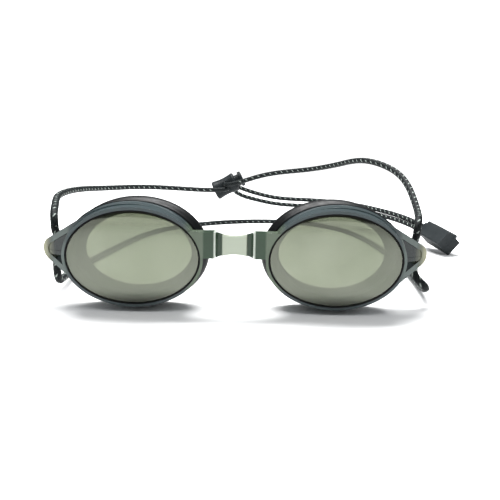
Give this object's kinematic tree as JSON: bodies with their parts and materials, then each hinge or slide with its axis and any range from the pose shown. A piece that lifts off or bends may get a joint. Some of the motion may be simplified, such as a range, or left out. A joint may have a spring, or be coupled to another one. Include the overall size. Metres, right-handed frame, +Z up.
{
  "type": "swim goggles",
  "caption": "Swim goggles with mirrored oval lenses in soft-gasketed cups, a sliding nose bridge and a round bungee strap with a spring cord lock.",
  "frame": {"origin": "centre of the nose bridge's back face", "axes": "+X from the left cup to the right cup seen from the front, +Y from the lenses towards the face and the strap, +Z up"},
  "size_m": [0.223, 0.2461, 0.058],
  "materials": {
    "cup": "clear smoke-grey moulded plastic",
    "lens": "mirrored grey-green polycarbonate, see-through",
    "seal": "black",
    "gasket": "black silicone, satin",
    "bridge": "clear pale grey flexible plastic",
    "cord": "braided black cover with small reflective flecks",
    "lock": "fine texture",
    "cord_end": "fine texture",
    "steel": "stainless",
    "crimp": "plain"
  },
  "bodies": {
    "bridge": {"nose_bridge": "bridge", "left_ear_cord": "cord", "right_ear_cord": "cord"},
    "left_cup": {"left_eyecup": "cup", "left_lens": "lens", "left_lens_seal": "seal", "left_gasket": "gasket"},
    "right_cup": {"right_eyecup": "cup", "right_lens": "lens", "right_lens_seal": "seal", "right_gasket": "gasket"},
    "upper_strap": {"upper_cord_left": "cord", "upper_cord_right": "cord"},
    "lower_strap": {"lower_cord": "cord"},
    "cord_lock": {"cord_lock_body": "lock", "cord_lock_spring": "steel"},
    "lock_button": {"cord_lock_button": "lock"},
    "tails": {"tail_cord_upper": "cord", "tail_cord_lower": "cord", "cord_end_base": "cord_end", "cord_end_pin": "steel", "cord_end_crimp": "crimp"},
    "end_lid": {"cord_end_lid": "cord_end"}
  },
  "joints": [
    {"name": "left_cup_slide", "type": "slide", "parent": "bridge", "child": "left_cup", "axis": [-1, 0, 0], "range_m": [0, 0.0013]},
    {"name": "right_cup_slide", "type": "slide", "parent": "bridge", "child": "right_cup", "axis": [1, 0, 0], "range_m": [0, 0.0013]},
    {"name": "upper_strap_swing", "type": "hinge", "parent": "bridge", "child": "upper_strap", "pos_m": [0, 0.013, 0.0034], "axis": [1, 0, 0], "range_deg": [0, 60]},
    {"name": "lower_strap_swing", "type": "hinge", "parent": "bridge", "child": "lower_strap", "pos_m": [0, 0.013, -0.0124], "axis": [1, 0, 0], "range_deg": [-45, 0]},
    {"name": "cord_lock_slide", "type": "slide", "parent": "upper_strap", "child": "cord_lock", "axis": [0, 1, 0], "range_m": [0, 0.008]},
    {"name": "lock_button_press", "type": "slide", "parent": "cord_lock", "child": "lock_button", "axis": [-0.8942, 0, -0.4478], "range_m": [0, 0.003], "deforming": ["cord_lock_spring"]},
    {"name": "tail_swing", "type": "hinge", "parent": "upper_strap", "child": "tails", "pos_m": [-0.0122, 0.216, 0.0047], "axis": [-0.4478, 0, 0.8942], "range_deg": [0, 40]},
    {"name": "cord_end_lid_open", "type": "hinge", "parent": "tails", "child": "end_lid", "pos_m": [0.12163, 0.13834, -0.01174], "axis": [-0.3094, 0.9359, 0.1684], "range_deg": [0, 100]}
  ]
}
